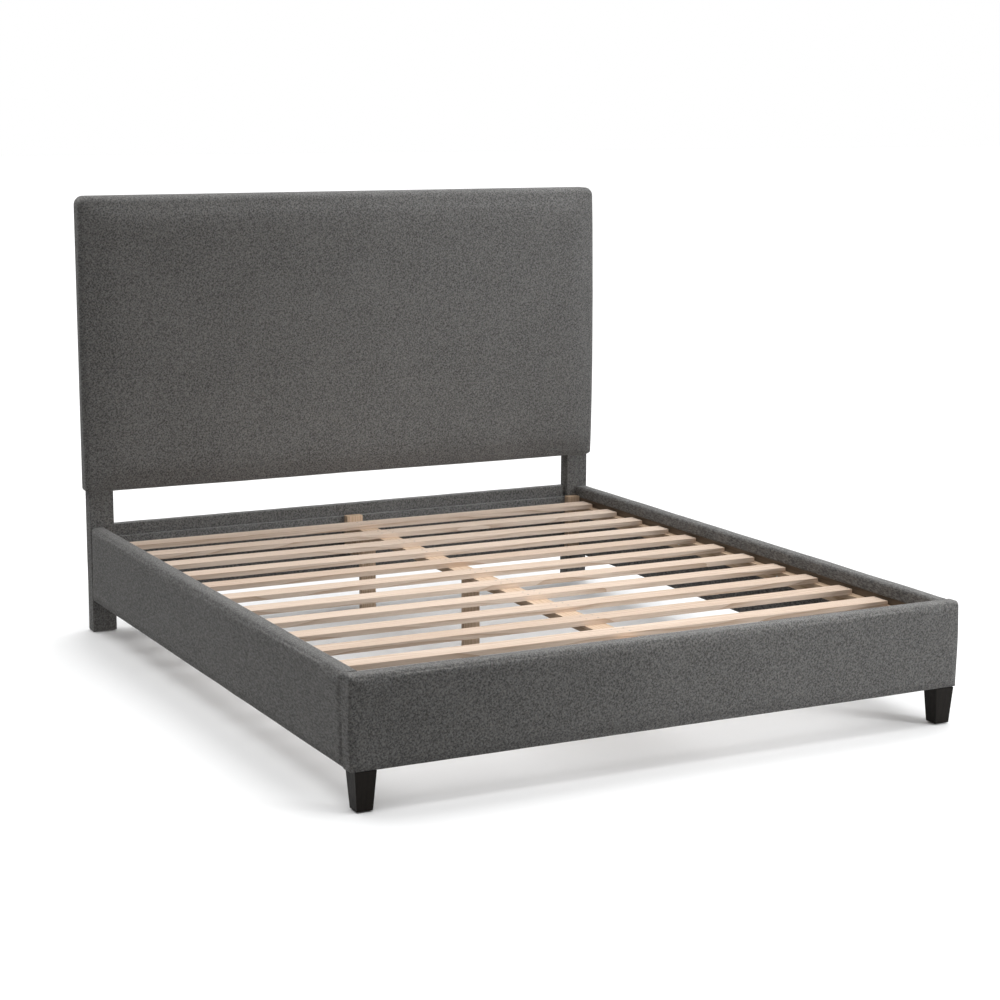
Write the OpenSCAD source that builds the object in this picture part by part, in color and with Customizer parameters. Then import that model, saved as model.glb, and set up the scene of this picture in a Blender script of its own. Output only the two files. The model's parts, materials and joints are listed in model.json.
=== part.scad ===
// Upholstered headboard bed with a slatted deck, for a 1829 x 2134 mm mattress.
// X runs across the bed, +Y from the foot to the head and +Z up.
// The origin is on the floor, under the middle of the whole bed.

/* [Bed frame] */
// Width over the side rails
frame_w = 1940; // [1500:10:2050]
// Length from the face of the footboard to the back of the posts
frame_l = 2290; // [2050:10:2400]
// Height of the upholstered rails
rail_h = 258; // [230:2:300]
// Clear height under the rails
foot_h = 112; // [90:2:150]

/* [Headboard] */
// Height of the underside of the padded panel
panel_z = 492; // [450:2:560]
// Height of the padded panel
panel_h = 1000; // [600:10:1100]
// Thickness of the padded panel
panel_t = 95; // [88:1:110]
// How far the panel stands past the posts at each side
panel_over = 12; // [8:1:16]
// Radius of the panel's corners, seen from the front
panel_r = 26; // [18:1:30]
// Width of a covered post
post_w = 84; // [70:1:100]
// Depth of a covered post
post_d = 54; // [50:1:60]

/* [Upholstery] */
// Thickness of the boards inside the rails
core_t = 30; // [24:1:34]
// Foam on the outside of the side rails
foam_t = 12; // [8:1:20]
// Foam on the face of the footboard
foot_foam_t = 18; // [8:1:24]
// Foam over the top edge of the rails
top_foam_t = 8; // [6:1:12]
// Thickness of the cover fabric and its wadding
cover_t = 2; // [1:0.5:2.5]

/* [Slatted deck] */
// Number of slats
slat_n = 12; // [10:1:12]
// Width of a slat
slat_w = 70; // [60:1:80]
// Thickness of a slat
slat_t = 16; // [14:1:20]
// Drop from the top of the rails to the top of the slats
deck_drop = 48; // [44:1:60]
// Width of the cleats that carry the slats
cleat_w = 28; // [26:1:36]
// Height of the cleats
cleat_h = 38; // [30:1:40]
// Width of the centre beam
beam_w = 70; // [60:1:80]
// Thickness of the centre beam
beam_t = 22; // [18:1:30]

/* [Feet] */
// Side of a front foot where it meets the footboard
foot_top_w = 62; // [56:1:64]
// Side of a front foot at the floor
foot_bottom_w = 46; // [40:1:50]
// Thickness of the glides under the feet, legs and posts
glide_t = 4; // [3:1:6]

/* [Hidden] */
$fn = 48;
SIDES = ["left", "right"];

// Lengths, measured from the face of the footboard before the bed is centred
cloth_t = 1.2;
staple_t = 0.6;
total_l = frame_l + cloth_t + staple_t;
foot_t = foot_foam_t + core_t + 2 * cover_t;
side_t = foam_t + core_t + 2 * cover_t;
post_y = frame_l - post_d;
side_l = post_y - foot_t;

// Heights of the deck
rail_top = foot_h + rail_h;
slat_top = rail_top - deck_drop;
deck_z = slat_top - slat_t;
beam_z = deck_z - beam_t;
cleat_z = deck_z - cleat_h;

// The side rail's inner face, its flap of cover and the boards behind it
half_w = frame_w / 2;
inner_x = half_w - side_t;
core_x = inner_x + cover_t;
flap_h = 34;
edge_r_out = 14;
edge_r_in = 8;
edge_r_low = 5;

// Posts and the frame inside the headboard
post_in_x = half_w - post_w;
stile_w = post_w - 2 * cover_t;
stile_d = post_d - 2 * cover_t;
stile_x = post_in_x + cover_t;
stile_y = post_y + cover_t;
panel_w = frame_w + 2 * panel_over;
panel_y = frame_l - panel_t;
panel_top = panel_z + panel_h;
panel_edge_r = 22;
skin = panel_over + cover_t;
board_t = 9;
board_y = stile_y - board_t;
frame_top = panel_top - skin;
frame_low = panel_z + skin;
frame_rail_h = 70;
stud_w = 70;
stud_pitch = 440;
back_flap = 50;
cloth_in = 30;
staple_w = 12;
staple_pitch = 150;

// Head end: ledger, crossrail and blocks
ledger_d = 18;
ledger_h = 80;
ledger_top = slat_top + 8;
crossrail_t = core_t + 2 * cover_t;
crossrail_y = frame_l - crossrail_t;
ledger_y = crossrail_y - ledger_d - cover_t;
block_t = 30;
block_top = slat_top + 12;
block_w = 48;
block_low = foot_h + 18;
beam_block_w = 60;
beam_block_d = 28;
seat_d = 40;
seat_h = 84;
foot_block_t = 40;
foot_block_h = cleat_z - 6 - block_low;

// Slats, beam and legs
slat_l = 2 * (core_x - 12);
slat_y1 = 88;
slat_pitch = (ledger_y - 76 - slat_w - slat_y1) / (slat_n - 1);
beam_y0 = foot_t + beam_block_d;
beam_y1 = ledger_y - beam_block_d;
leg_w = 56;
leg_d = 20;
leg_y_head = ledger_y - 135;
leg_y_middle = foot_t + (ledger_y - foot_t) * 0.558;

// Feet, glides and fasteners
foot_x = half_w - 41;
foot_y = 32;
glide_r = 11;
bolt_r = 4;
bolt_l = 70;
bolt_head_r = 7;
bolt_head_h = 5;
washer_r = 9;
washer_t = 1.6;
insert_r = 6;
insert_l = 20;
bolt_x = block_w / 2 + inner_x - block_w + 4;
head_bolt_z = [block_low + 40, block_top - 44];
foot_bolt_z = [block_low + 24, block_low + foot_block_h - 24];
hanger_l = 80;
dowel_r = 5;
dowel_l = 60;
screw_r = 2.5;
screw_head_r = 4.5;
screw_head_h = 3;
nail_r = 1.25;
nail_l = 34;
nail_head_r = 2.8;
nail_head_h = 1;
fit = 0.1;

// ---------- shared shapes ----------

// Moves a shape given from the footboard's face into the bed's own frame
module centred() { translate([0, -total_l / 2, 0]) children(); }

// Draws its children at the left, or mirrored at the right
module side(name) { mirror([name == "right" ? 1 : 0, 0, 0]) children(); }

// Draws its children at both sides
module both_sides() { for (s = SIDES) side(s) children(); }

// Extrudes an X-Z section along Y
module along_y(l) { rotate([90, 0, 0]) translate([0, 0, -l]) linear_extrude(l) children(); }

// Rectangle with its own radius at the corners left-low, right-low, left-high and right-high
module soft_square(w, h, r) {
  at = [[0, 0], [w, 0], [0, h], [w, h]];
  dir = [[1, 1], [-1, 1], [1, -1], [-1, -1]];
  difference() {
    square([w, h]);
    for (i = [0:3]) if (r[i] > 0) translate(at[i]) scale(dir[i]) difference() {
      translate([-1, -1]) square(r[i] + 1);
      translate([r[i], r[i]]) circle(r[i]);
    }
  }
}

// Section of a covered rail, its outer face at x = 0, drawn in from the surface by inset
module rail_profile(t, inset) {
  translate([inset, inset]) soft_square(t - 2 * inset, rail_h - 2 * inset,
    [edge_r_low - inset, 0, edge_r_out - inset, edge_r_in - inset]);
}

// Section of the board inside a rail that is t thick over its cover
module core_profile(t) {
  translate([t - core_t - cover_t, cover_t]) square([core_t, rail_h - 2 * cover_t - top_foam_t]);
}

module foam_profile(t) {
  difference() {
    rail_profile(t, cover_t);
    core_profile(t);
  }
}

// The cover is open on the inside, between its top flap and the underside of the cleat
module cover_profile(t) {
  gap_z = cleat_z - foot_h;
  difference() {
    rail_profile(t, 0);
    rail_profile(t, cover_t);
    translate([t - 2 * cover_t, gap_z]) square([3 * cover_t, rail_h - flap_h - gap_z]);
  }
}

// Turns a rail that runs along Y into one across the foot of the bed
module across_foot() { mirror([1, -1, 0]) children(); }

// Fasteners point along -Z, their heads' tops at z = 0; grow widens them for their holes
module screw(l, grow = 0) {
  translate([0, 0, -screw_head_h]) cylinder(h = screw_head_h, r = screw_head_r + grow);
  translate([0, 0, -l]) cylinder(h = l, r = screw_r + grow);
}

module nail(grow = 0) {
  translate([0, 0, -nail_head_h]) cylinder(h = nail_head_h, r = nail_head_r + grow);
  translate([0, 0, -nail_l]) cylinder(h = nail_l, r = nail_r + grow);
}

// ---------- where the fasteners are ----------

// Bolts through the head corner blocks into the posts, pointing along +Y
module at_head_bolts() {
  both_sides() for (z = head_bolt_z)
    translate([-bolt_x, post_y - block_t, z]) rotate([90, 0, 0]) children();
}

// Bolts through the foot corner blocks into the footboard, pointing along -Y
module at_foot_bolts() {
  both_sides() for (z = foot_bolt_z)
    translate([-bolt_x, foot_t + foot_block_t, z]) rotate([-90, 0, 0]) children();
}

module at_front_feet() { both_sides() translate([-foot_x, foot_y, 0]) children(); }

// Screws of the corner blocks into the side rails
module block_screws(grow = 0) {
  both_sides() {
    for (z = head_bolt_z) translate([-inner_x + block_w, post_y - block_t / 2, z - 26])
      rotate([0, 90, 0]) screw(70, grow);
    for (z = foot_bolt_z) translate([-inner_x + block_w, foot_t + 12, z - 12])
      rotate([0, 90, 0]) screw(70, grow);
  }
}

// Screws of the cleats into the side rails
module cleat_screws(grow = 0) {
  end = 180;
  last = 6;
  both_sides() for (i = [0:last])
    translate([-core_x + cleat_w, foot_t + end + i * (side_l - 2 * end) / last, cleat_z + cleat_h / 2])
      rotate([0, 90, 0]) screw(50, grow);
}

// Screws of the beam's blocks into the ledger and the footboard
module beam_block_screws(grow = 0) {
  reach = beam_block_d + seat_d;
  for (s = [-1, 1]) {
    translate([s * 18, ledger_y - reach, beam_z - 20]) rotate([90, 0, 0]) screw(84, grow);
    translate([s * 18, foot_t + reach, beam_z - 20]) rotate([-90, 0, 0]) screw(84, grow);
  }
}

// Screws down through the beam into its legs
module leg_screws(grow = 0) {
  for (y = [leg_y_head, leg_y_middle], s = [-1, 1]) translate([s * 15, y, deck_z]) screw(70, grow);
}

// Nails of one slat: two at each end and four over the beam
module at_slat_nails(i) {
  for (sx = [-1, 1], sy = [-1, 1]) translate([0, slat_y(i) + slat_w / 2 + sy * 18, slat_top]) {
    translate([sx * (slat_l / 2 - 6), 0, 0]) children();
    translate([sx * 20, 0, 0]) children();
  }
}

// Dowels join the crossrail and the panel's rails to the stiles
module at_dowels() {
  y = frame_l - cover_t - core_t / 2;
  both_sides() {
    for (z = [foot_h + 36, rail_top - 60]) translate([-post_in_x, y, z]) rotate([0, 90, 0]) children();
    for (z = [frame_low + frame_rail_h / 2, frame_top - frame_rail_h / 2])
      translate([-stile_x, y, z]) rotate([0, 90, 0]) children();
  }
}

module dowel_holes() { at_dowels() cylinder(h = dowel_l + 1, r = dowel_r + fit, center = true); }
module nail_holes() { for (i = [1:slat_n]) at_slat_nails(i) nail(fit); }

// Holes for the rail bolts and for their inserts, which start at the far side of a block
module bolt_holes(block) {
  translate([0, 0, -bolt_l]) cylinder(h = bolt_l + 1, r = bolt_r + fit);
  translate([0, 0, -block - cover_t - insert_l]) cylinder(h = insert_l, r = insert_r + fit);
}

module head_bolt_holes() { at_head_bolts() bolt_holes(block_t); }
module foot_bolt_holes() { at_foot_bolts() bolt_holes(foot_block_t); }

module foot_stud_holes() {
  at_front_feet() {
    translate([0, 0, foot_h - hanger_l / 2]) cylinder(h = hanger_l, r = bolt_r + fit);
    translate([0, 0, foot_h + cover_t]) cylinder(h = insert_l, r = insert_r + fit);
  }
}

// ---------- headboard ----------

module stile(name) {
  color("burlywood") centred() difference() {
    side(name) translate([-half_w + cover_t, stile_y, glide_t])
      cube([stile_w, stile_d, frame_top - glide_t]);
    dowel_holes();
    head_bolt_holes();
  }
}

module headboard_rail(z) {
  color("burlywood") centred() difference() {
    translate([-stile_x, stile_y, z]) cube([2 * stile_x, stile_d, frame_rail_h]);
    dowel_holes();
  }
}

module headboard_studs() {
  stud_h = frame_top - frame_low - 2 * frame_rail_h;
  color("burlywood") centred() for (i = [-1:1])
    translate([i * stud_pitch - stud_w / 2, stile_y, frame_low + frame_rail_h])
      cube([stud_w, stile_d, stud_h]);
}

module headboard_face_board() {
  w = 2 * (half_w - cover_t);
  color("tan") centred() translate([-w / 2, board_y, frame_low]) cube([w, board_t, frame_top - frame_low]);
}

// Outer form of the padded panel, drawn in from its surface by inset; its back stays flat
module panel_form(inset) {
  w = panel_w - 2 * inset;
  h = panel_h - 2 * inset;
  d = panel_t - 2 * inset;
  rc = panel_r - inset;
  re = panel_edge_r - inset;
  translate([0, panel_y + inset, panel_z + inset]) intersection() {
    translate([-w / 2, 0, 0]) along_y(d) soft_square(w, h, [rc, rc, rc, rc]);
    translate([-w / 2, 0, 0]) linear_extrude(h) soft_square(w, d, [re, re, 0, 0]);
    translate([-w / 2, 0, 0]) rotate([90, 0, 90]) linear_extrude(w) soft_square(d, h, [re, 0, re, 0]);
  }
}

module headboard_foam() {
  color("wheat") centred() intersection() {
    panel_form(cover_t);
    translate([-panel_w, panel_y, panel_z]) cube([2 * panel_w, board_y - panel_y, panel_h]);
  }
}

// Strips of foam round the edges of the frame, cut away where the posts come down
module headboard_edge_foam() {
  w = 2 * (half_w - cover_t);
  color("wheat") centred() difference() {
    panel_form(cover_t);
    translate([-panel_w, 0, panel_z]) cube([2 * panel_w, board_y, panel_h]);
    translate([-w / 2, 0, frame_low]) cube([w, 2 * frame_l, frame_top - frame_low]);
    both_sides() translate([-half_w, 0, 0]) cube([post_w, 2 * frame_l, frame_low + 1]);
  }
}

// The cover wraps round to the back, where its edges are stapled to the frame
module headboard_cover() {
  win_w = panel_w - 2 * back_flap;
  win_h = panel_h - 2 * back_flap;
  color("dimgray") centred() difference() {
    panel_form(0);
    panel_form(cover_t);
    translate([-win_w / 2, stile_y, panel_z + back_flap]) cube([win_w, post_d, win_h]);
    both_sides() translate([-half_w, post_y, panel_z - 1]) cube([post_w, post_d + 1, skin + 1]);
  }
}

module headboard_back_cloth() {
  w = panel_w - 2 * cloth_in;
  color("black") centred() translate([-w / 2, frame_l, panel_z + cloth_in])
    cube([w, cloth_t, panel_h - 2 * cloth_in]);
}

// One crown of a staple, lying along X
module staple() { translate([-staple_w / 2, 0, -0.6]) cube([staple_w, staple_t, 1.2]); }

module back_cloth_staples() {
  edge = cloth_in + 8;
  nx = floor((panel_w - 2 * edge) / staple_pitch);
  nz = floor((panel_h - 2 * edge) / staple_pitch);
  color("silver") centred() translate([0, frame_l + cloth_t, 0]) {
    for (z = [panel_z + edge, panel_top - edge], i = [0:nx])
      translate([(i - nx / 2) * staple_pitch, 0, z]) staple();
    for (s = [-1, 1], i = [0:nz])
      translate([s * (panel_w / 2 - edge), 0, panel_z + panel_h / 2 + (i - nz / 2) * staple_pitch])
        rotate([0, 90, 0]) staple();
  }
}

// Sleeve of fabric round the visible part of a post
module post_cover(name) {
  color("dimgray") centred() difference() {
    side(name) difference() {
      translate([-half_w, post_y, glide_t + 1]) cube([post_w, post_d, panel_z - glide_t - 1]);
      translate([-half_w + cover_t, stile_y, 0]) cube([stile_w, stile_d, panel_top]);
    }
    dowel_holes();
    head_bolt_holes();
  }
}

// ---------- head end ----------

module head_crossrail_core() {
  color("burlywood") centred() difference() {
    translate([-post_in_x, crossrail_y + cover_t, foot_h + cover_t])
      cube([2 * post_in_x, core_t, rail_h - 2 * cover_t]);
    dowel_holes();
  }
}

module head_crossrail_cover() {
  color("dimgray") centred() difference() {
    translate([-post_in_x, crossrail_y, foot_h]) cube([2 * post_in_x, crossrail_t, rail_h]);
    translate([-post_in_x - 1, crossrail_y + cover_t, foot_h + cover_t])
      cube([2 * post_in_x + 2, core_t, rail_h - 2 * cover_t]);
  }
}

module frame_dowels() {
  color("peru") centred() at_dowels() cylinder(h = dowel_l, r = dowel_r, center = true);
}

module head_ledger() {
  z = ledger_top - ledger_h + cover_t;
  color("burlywood") centred() difference() {
    translate([-post_in_x, ledger_y + cover_t, z]) cube([2 * post_in_x, ledger_d, ledger_h - 2 * cover_t]);
    beam_block_screws(fit);
  }
}

module head_ledger_cover() {
  z = ledger_top - ledger_h;
  color("dimgray") centred() difference() {
    translate([-post_in_x, ledger_y, z]) cube([2 * post_in_x, ledger_d + cover_t, ledger_h]);
    translate([-post_in_x - 1, ledger_y + cover_t, z + cover_t])
      cube([2 * post_in_x + 2, ledger_d + 1, ledger_h - 2 * cover_t]);
    beam_block_screws(fit);
  }
}

// Block with a seat for one end of the centre beam; the seat is towards +Y
module beam_block(top) {
  translate([-beam_block_w / 2, 0, beam_z - seat_h]) {
    cube([beam_block_w, beam_block_d + seat_d, seat_h]);
    cube([beam_block_w, beam_block_d, top - beam_z + seat_h]);
  }
}

module head_beam_block() {
  color("moccasin") centred() difference() {
    translate([0, ledger_y, 0]) mirror([0, 1, 0]) beam_block(block_top);
    beam_block_screws(fit);
  }
}

module head_corner_block(name) {
  color("moccasin") centred() difference() {
    side(name) translate([-inner_x, post_y - block_t, block_low])
      cube([block_w, block_t, block_top - block_low]);
    head_bolt_holes();
    block_screws(fit);
  }
}

// ---------- side rails ----------

module side_rail(name) { side(name) translate([-half_w, foot_t, foot_h]) along_y(side_l) children(); }

module side_rail_core(name) {
  color("burlywood") centred() difference() {
    side_rail(name) core_profile(side_t);
    block_screws(fit);
    cleat_screws(fit);
  }
}

module side_rail_foam(name) { color("wheat") centred() side_rail(name) foam_profile(side_t); }

module side_rail_cover(name) {
  color("dimgray") centred() difference() {
    side_rail(name) cover_profile(side_t);
    block_screws(fit);
  }
}

module slat_cleat(name) {
  color("moccasin") centred() difference() {
    side(name) translate([-core_x, foot_t + 2, cleat_z]) cube([cleat_w, side_l - 48, cleat_h]);
    nail_holes();
    cleat_screws(fit);
  }
}

// ---------- footboard ----------

module footboard_core() {
  color("burlywood") centred() difference() {
    translate([-half_w + cover_t, 0, foot_h])
      across_foot() along_y(frame_w - 2 * cover_t) core_profile(foot_t);
    foot_bolt_holes();
    foot_stud_holes();
    beam_block_screws(fit);
  }
}

module footboard_foam() {
  color("wheat") centred() translate([-half_w + cover_t, 0, foot_h])
    across_foot() along_y(frame_w - 2 * cover_t) foam_profile(foot_t);
}

// The cover closes over the footboard's ends
module footboard_cover() {
  color("dimgray") centred() difference() {
    translate([-half_w, 0, foot_h]) across_foot() difference() {
      along_y(frame_w) rail_profile(foot_t, 0);
      translate([0, cover_t, 0]) along_y(frame_w - 2 * cover_t) union() {
        rail_profile(foot_t, cover_t);
        translate([foot_t - 2 * cover_t, cleat_z - foot_h])
          square([3 * cover_t, rail_top - flap_h - cleat_z]);
      }
    }
    foot_bolt_holes();
    foot_stud_holes();
    beam_block_screws(fit);
  }
}

module foot_beam_block() {
  color("moccasin") centred() difference() {
    translate([0, foot_t, 0]) beam_block(deck_z);
    beam_block_screws(fit);
  }
}

module foot_corner_block(name) {
  color("moccasin") centred() difference() {
    side(name) translate([-inner_x, foot_t, block_low]) cube([block_w, foot_block_t, foot_block_h]);
    foot_bolt_holes();
    block_screws(fit);
  }
}

// One side view of a tapered foot
module foot_side() {
  in = (foot_top_w - foot_bottom_w) / 2;
  polygon([[in, 0], [foot_top_w - in, 0], [foot_top_w, foot_h - glide_t], [0, foot_h - glide_t]]);
}

module front_foot(name) {
  w = foot_top_w;
  color("#2e2621") centred() difference() {
    side(name) translate([-foot_x - w / 2, foot_y - w / 2, glide_t]) intersection() {
      along_y(w) foot_side();
      rotate([90, 0, 90]) linear_extrude(w) foot_side();
    }
    foot_stud_holes();
  }
}

module front_foot_bolts() {
  color("silver") centred() at_front_feet()
    translate([0, 0, foot_h - hanger_l / 2]) cylinder(h = hanger_l, r = bolt_r);
}

// ---------- centre support and slats ----------

module centre_beam() {
  color("moccasin") centred() difference() {
    translate([-beam_w / 2, beam_y0, beam_z]) cube([beam_w, beam_y1 - beam_y0, beam_t]);
    nail_holes();
    leg_screws(fit);
  }
}

module centre_leg(y) {
  color("tan") centred() difference() {
    translate([-leg_w / 2, y - leg_d / 2, glide_t]) cube([leg_w, leg_d, beam_z - glide_t]);
    leg_screws(fit);
  }
}

function slat_y(i) = slat_y1 + (slat_n - i) * slat_pitch;

// Slats are numbered from the head
module slat(i) {
  color("bisque") centred() difference() {
    translate([-slat_l / 2, slat_y(i), deck_z]) cube([slat_l, slat_w, slat_t]);
    at_slat_nails(i) nail(fit);
  }
}

// ---------- hardware ----------

module rail_bolt() {
  head_z = washer_t;
  translate([0, 0, head_z]) cylinder(h = bolt_head_h, r = bolt_head_r, $fn = 6);
  translate([0, 0, -bolt_l + head_z]) cylinder(h = bolt_l, r = bolt_r);
}

module rail_bolts() {
  color("silver") centred() {
    at_head_bolts() rail_bolt();
    at_foot_bolts() rail_bolt();
  }
}

module rail_washer() {
  difference() {
    cylinder(h = washer_t, r = washer_r);
    translate([0, 0, -1]) cylinder(h = washer_t + 2, r = bolt_r + fit);
  }
}

module rail_washers() {
  color("silver") centred() {
    at_head_bolts() rail_washer();
    at_foot_bolts() rail_washer();
  }
}

module threaded_insert() {
  difference() {
    cylinder(h = insert_l, r = insert_r);
    translate([0, 0, -1]) cylinder(h = insert_l + 2, r = bolt_r + fit);
  }
}

module threaded_inserts() {
  color("goldenrod") centred() {
    at_head_bolts() translate([0, 0, -block_t - cover_t - insert_l]) threaded_insert();
    at_foot_bolts() translate([0, 0, -foot_block_t - cover_t - insert_l]) threaded_insert();
    at_front_feet() translate([0, 0, foot_h + cover_t]) threaded_insert();
  }
}

module wood_screws() {
  color("silver") centred() {
    block_screws();
    cleat_screws();
    beam_block_screws();
    leg_screws();
  }
}

module slat_nails() { color("gray") centred() for (i = [1:slat_n]) at_slat_nails(i) nail(); }

module floor_glides() {
  color("#202020") centred() {
    at_front_feet() cylinder(h = glide_t, r = glide_r);
    both_sides() translate([-half_w + post_w / 2, post_y + post_d / 2, 0])
      cylinder(h = glide_t, r = glide_r);
    for (y = [leg_y_head, leg_y_middle]) translate([0, y, 0]) cylinder(h = glide_t, r = leg_d / 2 - 1);
  }
}

// ---------- every node ----------

for (s = SIDES) {
  stile(s);
  post_cover(s);
  head_corner_block(s);
  side_rail_core(s);
  side_rail_foam(s);
  side_rail_cover(s);
  slat_cleat(s);
  foot_corner_block(s);
  front_foot(s);
}
headboard_rail(frame_top - frame_rail_h);  // headboard_top_rail
headboard_rail(frame_low);  // headboard_bottom_rail
headboard_studs();
headboard_face_board();
headboard_foam();
headboard_edge_foam();
headboard_cover();
headboard_back_cloth();
back_cloth_staples();
head_crossrail_core();
head_crossrail_cover();
frame_dowels();
head_ledger();
head_ledger_cover();
head_beam_block();
footboard_core();
footboard_foam();
footboard_cover();
foot_beam_block();
front_foot_bolts();
threaded_inserts();
floor_glides();
centre_beam();
centre_leg(leg_y_head);  // centre_leg_head
centre_leg(leg_y_middle);  // centre_leg_middle
rail_bolts();
rail_washers();
wood_screws();
slat_nails();
for (i = [1:slat_n]) slat(i);
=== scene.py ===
"""Upholstered headboard bed: fabric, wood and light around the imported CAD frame.

Lengths are in metres in the bed's own frame: +X across the bed, +Y towards the head and +Z up.
The headboard's front and the footboard's outer face both look along -Y.
"""
import json
import math

import bpy
import numpy as np
from mathutils import Matrix, Vector


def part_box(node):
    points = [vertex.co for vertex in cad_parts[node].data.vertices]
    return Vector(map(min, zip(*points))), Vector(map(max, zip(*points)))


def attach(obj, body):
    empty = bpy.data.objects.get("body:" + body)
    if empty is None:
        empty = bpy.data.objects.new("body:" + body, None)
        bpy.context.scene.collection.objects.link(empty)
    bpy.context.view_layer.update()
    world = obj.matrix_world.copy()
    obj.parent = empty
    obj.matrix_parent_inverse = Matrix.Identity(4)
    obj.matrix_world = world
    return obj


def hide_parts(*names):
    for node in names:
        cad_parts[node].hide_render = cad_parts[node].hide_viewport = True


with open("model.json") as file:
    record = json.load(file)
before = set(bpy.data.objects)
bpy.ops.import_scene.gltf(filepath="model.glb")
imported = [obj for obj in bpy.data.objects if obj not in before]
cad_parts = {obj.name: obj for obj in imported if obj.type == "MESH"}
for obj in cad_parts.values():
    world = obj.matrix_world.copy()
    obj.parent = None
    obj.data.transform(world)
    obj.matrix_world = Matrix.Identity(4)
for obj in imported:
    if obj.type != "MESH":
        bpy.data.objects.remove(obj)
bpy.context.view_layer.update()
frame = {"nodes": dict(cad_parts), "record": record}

BODY = "root"                       # the bed's only body, since nothing moves
SIDES = ("left", "right")
MM = 0.001
RING = 14 * MM                      # width of one growth band across a board
STEP_HEIGHT = 0.6 * MM              # height over which fabric steps in to the bare strip of board
STRIP_DEPTH = 3.5 * MM              # how far it is sunk there, so that the board stands in front
CLOTH_PRESSURE = 4.0
CLOTH_FRAMES = 20
WAVE_COUNT = 7                      # sine waves added up in one random height
SCENE = bpy.context.scene


# ---------------------------------------------------------------- material nodes

class Graph:
    """A new material with a Principled shader, and short calls that add nodes to it."""

    def __init__(self, name):
        self.mat = bpy.data.materials.new(name)
        self.mat.use_nodes = True
        self.tree = self.mat.node_tree
        self.bsdf = self.tree.nodes["Principled BSDF"]
        coord = self.tree.nodes.new("ShaderNodeTexCoord")
        self.place = coord.outputs["Object"]
        self.x, self.y, self.z = self.split(self.place)
        geometry = self.tree.nodes.new("ShaderNodeNewGeometry")
        facing = self.split(geometry.outputs["Normal"])
        self.nx, self.ny, self.nz = [self.math("ABSOLUTE", part) for part in facing]

    def put(self, socket, value):
        if isinstance(value, bpy.types.NodeSocket):
            self.tree.links.new(value, socket)
        else:
            socket.default_value = value

    def math(self, operation, *values, clamp=False):
        node = self.tree.nodes.new("ShaderNodeMath")
        node.operation = operation
        node.use_clamp = clamp
        for socket, value in zip(node.inputs, values):
            self.put(socket, value)
        return node.outputs[0]

    def split(self, vector):
        node = self.tree.nodes.new("ShaderNodeSeparateXYZ")
        self.put(node.inputs[0], vector)
        return node.outputs[0], node.outputs[1], node.outputs[2]

    def join(self, x, y, z):
        node = self.tree.nodes.new("ShaderNodeCombineXYZ")
        for socket, value in zip(node.inputs, (x, y, z)):
            self.put(socket, value)
        return node.outputs[0]

    def noise(self, vector, scale, detail=2.0, rough=0.5):
        node = self.tree.nodes.new("ShaderNodeTexNoise")
        for name, value in (("Vector", vector), ("Scale", scale), ("Detail", detail), ("Roughness", rough)):
            self.put(node.inputs[name], value)
        return node.outputs["Fac"]

    def stretch(self, value, low, high, to_low=0.0, to_high=1.0):
        node = self.tree.nodes.new("ShaderNodeMapRange")
        node.interpolation_type = "SMOOTHSTEP"
        for socket, number in zip(node.inputs, (value, low, high, to_low, to_high)):
            self.put(socket, number)
        return node.outputs[0]

    def blend(self, share, a, b, kind="MIX"):
        node = self.tree.nodes.new("ShaderNodeMix")
        node.data_type = "RGBA"
        node.blend_type = kind
        self.put(node.inputs[0], share)
        for socket, colour in ((node.inputs[6], a), (node.inputs[7], b)):
            self.put(socket, colour if isinstance(colour, bpy.types.NodeSocket) else (*colour, 1.0))
        return node.outputs[2]

    def grey(self, value):
        return self.join(value, value, value)

    def bump(self, height, depth, strength):
        node = self.tree.nodes.new("ShaderNodeBump")
        self.put(node.inputs["Strength"], strength)
        self.put(node.inputs["Distance"], depth)
        self.put(node.inputs["Height"], height)
        self.put(self.bsdf.inputs["Normal"], node.outputs[0])

    def set(self, **values):
        for name, value in values.items():
            self.put(self.bsdf.inputs[name.replace("_", " ")], value)


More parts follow.
